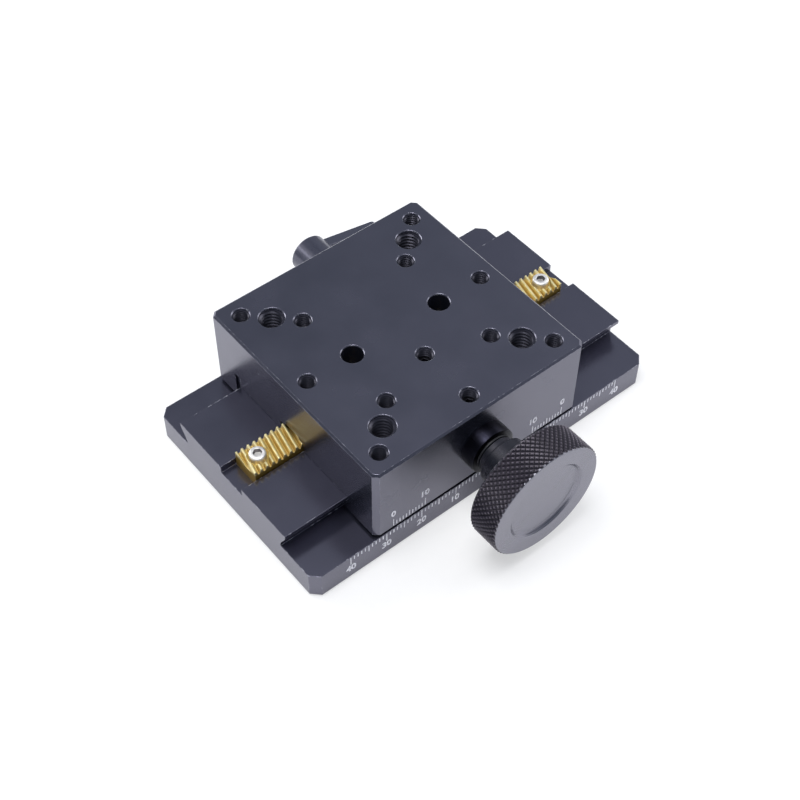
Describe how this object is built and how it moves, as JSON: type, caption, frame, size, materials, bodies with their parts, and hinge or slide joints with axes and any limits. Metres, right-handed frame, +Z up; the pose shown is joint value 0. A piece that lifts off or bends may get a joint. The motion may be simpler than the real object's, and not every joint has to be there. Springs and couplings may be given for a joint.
{
  "type": "manual linear stage",
  "caption": "Dovetail linear stage: a square table with a grid of tapped holes, moved on its base rail by a knurled knob on a helical rack and pinion, with a clamping lever.",
  "frame": {"origin": "middle of the base's underside", "axes": "+X along the travel, +Y away from the knob, +Z up out of the table's top face"},
  "size_m": [0.1, 0.0975, 0.0336],
  "materials": {
    "black_anodised": "satin black anodised",
    "knob_anodised": "black anodised, knurled rim, turned face",
    "brass": "bright, as machined",
    "bronze": "sintered bronze",
    "bush_steel": "turned and darkened, bright front edge",
    "shaft_steel": "ground",
    "screw_steel": "stainless",
    "dark_steel": "black oxide",
    "washer_plastic": "plain",
    "handle_coat": "fine-textured coat"
  },
  "bodies": {
    "base": {"base_plate": "black_anodised", "rack": "brass", "rack_screws": "screw_steel"},
    "carriage": {"carriage_block": "black_anodised", "gib_strip": "black_anodised", "gib_screws": "dark_steel", "clamp_pad": "brass", "front_bush": "bush_steel", "rear_bush": "bronze", "bush_lock_screws": "dark_steel"},
    "drive": {"knob": "knob_anodised", "knob_set_screws": "dark_steel", "pinion_shaft": "shaft_steel", "inner_thrust_washer": "bronze", "friction_washer": "washer_plastic"},
    "clamp": {"clamp_stud": "shaft_steel", "serrated_insert": "dark_steel", "lever_screw": "screw_steel", "lever_spring": "screw_steel"},
    "handle": {"lever_handle": "handle_coat"}
  },
  "joints": [
    {"name": "stage_slide", "type": "slide", "parent": "base", "child": "carriage", "axis": [1, 0, 0], "range_m": [-0.0169, 0.0231]},
    {"name": "knob_turn", "type": "hinge", "parent": "carriage", "child": "drive", "pos_m": [-0.0031, 0, 0.01858], "axis": [0, 1, 0], "range_deg": [-272, 371]},
    {"name": "clamp_turn", "type": "hinge", "parent": "carriage", "child": "clamp", "pos_m": [0.0059, 0.03, 0.0124], "axis": [0, -1, 0], "range_deg": [-20, 60]},
    {"name": "lever_pull", "type": "slide", "parent": "clamp", "child": "handle", "axis": [0, 1, 0], "range_m": [0, 0.0023], "stiffness_N_per_m": 1500, "deforming": ["lever_spring"]}
  ],
  "couplings": [
    {"joint": "knob_turn", "follows": "stage_slide", "rad_per_m": 279.47}
  ]
}
